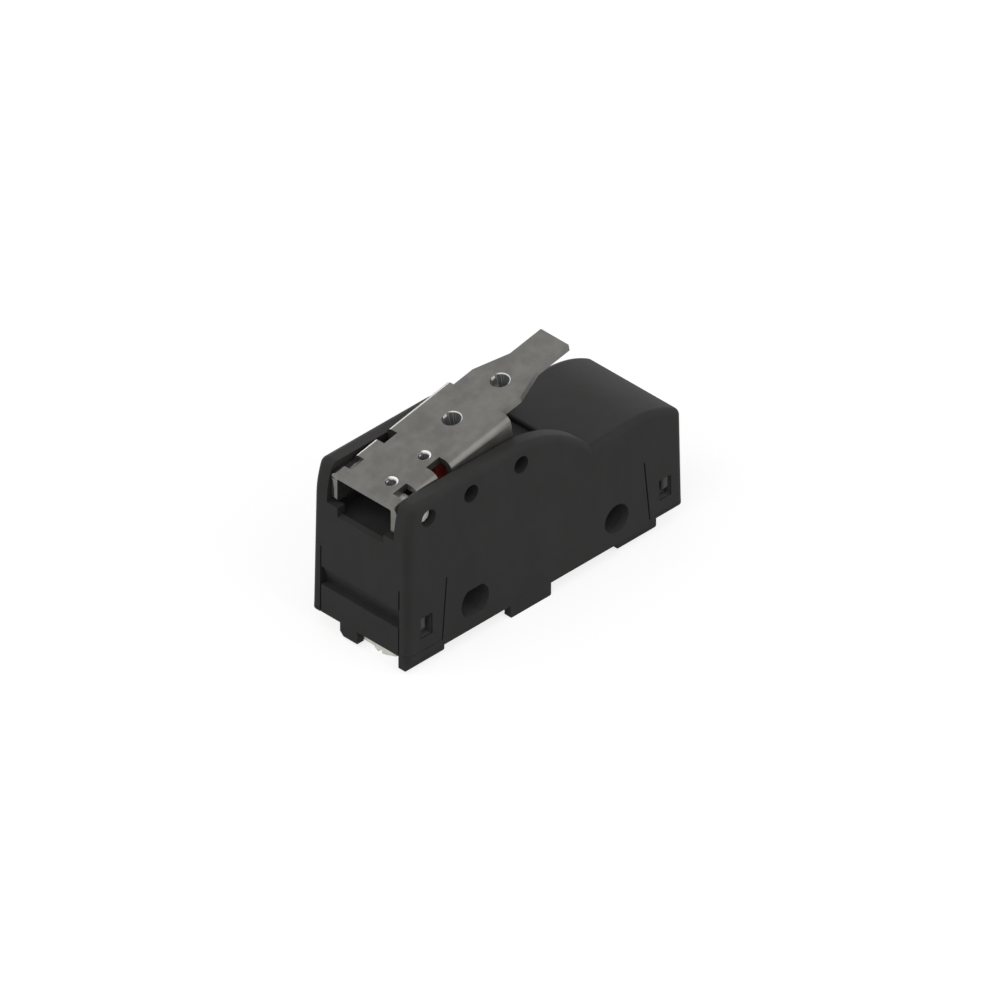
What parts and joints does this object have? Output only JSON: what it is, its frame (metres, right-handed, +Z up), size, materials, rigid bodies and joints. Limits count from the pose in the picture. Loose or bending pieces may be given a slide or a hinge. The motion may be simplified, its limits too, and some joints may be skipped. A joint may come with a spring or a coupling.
{
  "type": "micro switch",
  "caption": "Basic snap-action micro switch in a two-part black moulded housing, with a hinged sheet-metal lever, a red plunger and screw terminals in bays underneath.",
  "frame": {"origin": "centre of the bounding box in X and Y, on the plane that the two feet stand on", "axes": "+X from the lever's pivot towards its tip, +Y across the housing along the pivot pin, +Z up out of the lever side"},
  "size_m": [0.0496, 0.0174, 0.0311],
  "materials": {
    "housing": "black moulded thermoset with a fine satin grain",
    "lever_steel": "warm grey rolled stainless sheet with faint mottling",
    "pin_steel": "plain drawn steel pin",
    "plunger_red": "red moulded plastic, smooth",
    "contact_strip": "brass strip, lightly dulled",
    "contact_silver": "silver alloy rivets",
    "screw_zinc": "zinc plated steel with a turned face",
    "spring_steel": "bright spring steel"
  },
  "bodies": {
    "housing": {"base": "housing", "clamp_plate_closed_front": "screw_zinc", "clamp_plate_closed_rear": "screw_zinc", "clamp_plate_open_front": "screw_zinc", "clamp_plate_open_rear": "screw_zinc", "fixed_contact_closed_front": "contact_silver", "fixed_contact_closed_rear": "contact_silver", "fixed_contact_open_front": "contact_silver", "fixed_contact_open_rear": "contact_silver", "pivot_pin": "pin_steel", "return_spring": "spring_steel", "terminal_closed_front": "contact_strip", "terminal_closed_rear": "contact_strip", "terminal_open_front": "contact_strip", "terminal_open_rear": "contact_strip", "terminal_screw_closed_front": "screw_zinc", "terminal_screw_closed_rear": "screw_zinc", "terminal_screw_open_front": "screw_zinc", "terminal_screw_open_rear": "screw_zinc", "upper_cover": "housing"},
    "lever": {"lever": "lever_steel"},
    "plunger": {"plunger": "plunger_red", "spring_seat": "pin_steel"},
    "bridge": {"contact_bridge": "contact_strip", "moving_contact_closed_front": "contact_silver", "moving_contact_closed_rear": "contact_silver", "moving_contact_open_front": "contact_silver", "moving_contact_open_rear": "contact_silver", "snap_spring_front": "spring_steel", "snap_spring_rear": "spring_steel"}
  },
  "joints": [
    {"name": "lever_pivot", "type": "hinge", "parent": "housing", "child": "lever", "pos_m": [-0.02078, 0, 0.0226], "axis": [0, 1, 0], "range_deg": [0, 12], "stiffness_Nm_per_rad": 0.15, "springref_deg": -8.59},
    {"name": "plunger_slide", "type": "slide", "parent": "housing", "child": "plunger", "axis": [0, 0, -1], "range_m": [0, 0.00206], "deforming": ["return_spring"]},
    {"name": "bridge_slide", "type": "slide", "parent": "housing", "child": "bridge", "axis": [0, 0, -1], "range_m": [0, 0.00131]}
  ],
  "couplings": [
    {"joint": "plunger_slide", "follows": "lever_pivot", "m_per_rad": 0.0097491},
    {"joint": "bridge_slide", "follows": "lever_pivot", "m_per_rad": 0.006207}
  ]
}
